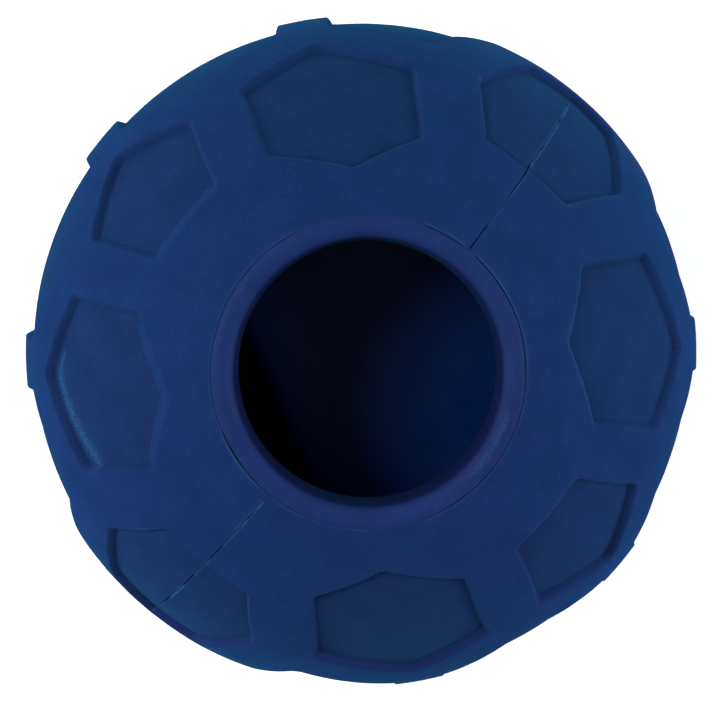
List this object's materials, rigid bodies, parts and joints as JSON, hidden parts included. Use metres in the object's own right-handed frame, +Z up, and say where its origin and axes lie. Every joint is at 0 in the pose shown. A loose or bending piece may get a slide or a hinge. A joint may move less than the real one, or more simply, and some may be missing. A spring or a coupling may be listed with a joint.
{
  "type": "treat dispensing ball",
  "caption": "Hollow rubber ball with a wide round mouth, sunk polygon pads between raised lands, and a divider inside that slows the treats.",
  "frame": {"origin": "middle of the flat under the ball, opposite the mouth", "axes": "+Z up through the middle of the mouth; the joint between the shells is the upright plane turned 50.75 degrees from +X"},
  "size_m": [0.108, 0.1074, 0.1006],
  "materials": {
    "shell_rubber": "matte deep blue natural rubber with a fine moulded grain",
    "ring_rubber": "smooth deep blue rubber with a faint sheen",
    "inner_rubber": "matte deep blue rubber"
  },
  "bodies": {
    "root": {"left_shell": "shell_rubber", "right_shell": "shell_rubber", "mouth_ring": "ring_rubber", "treat_baffle": "inner_rubber"}
  },
  "joints": []
}
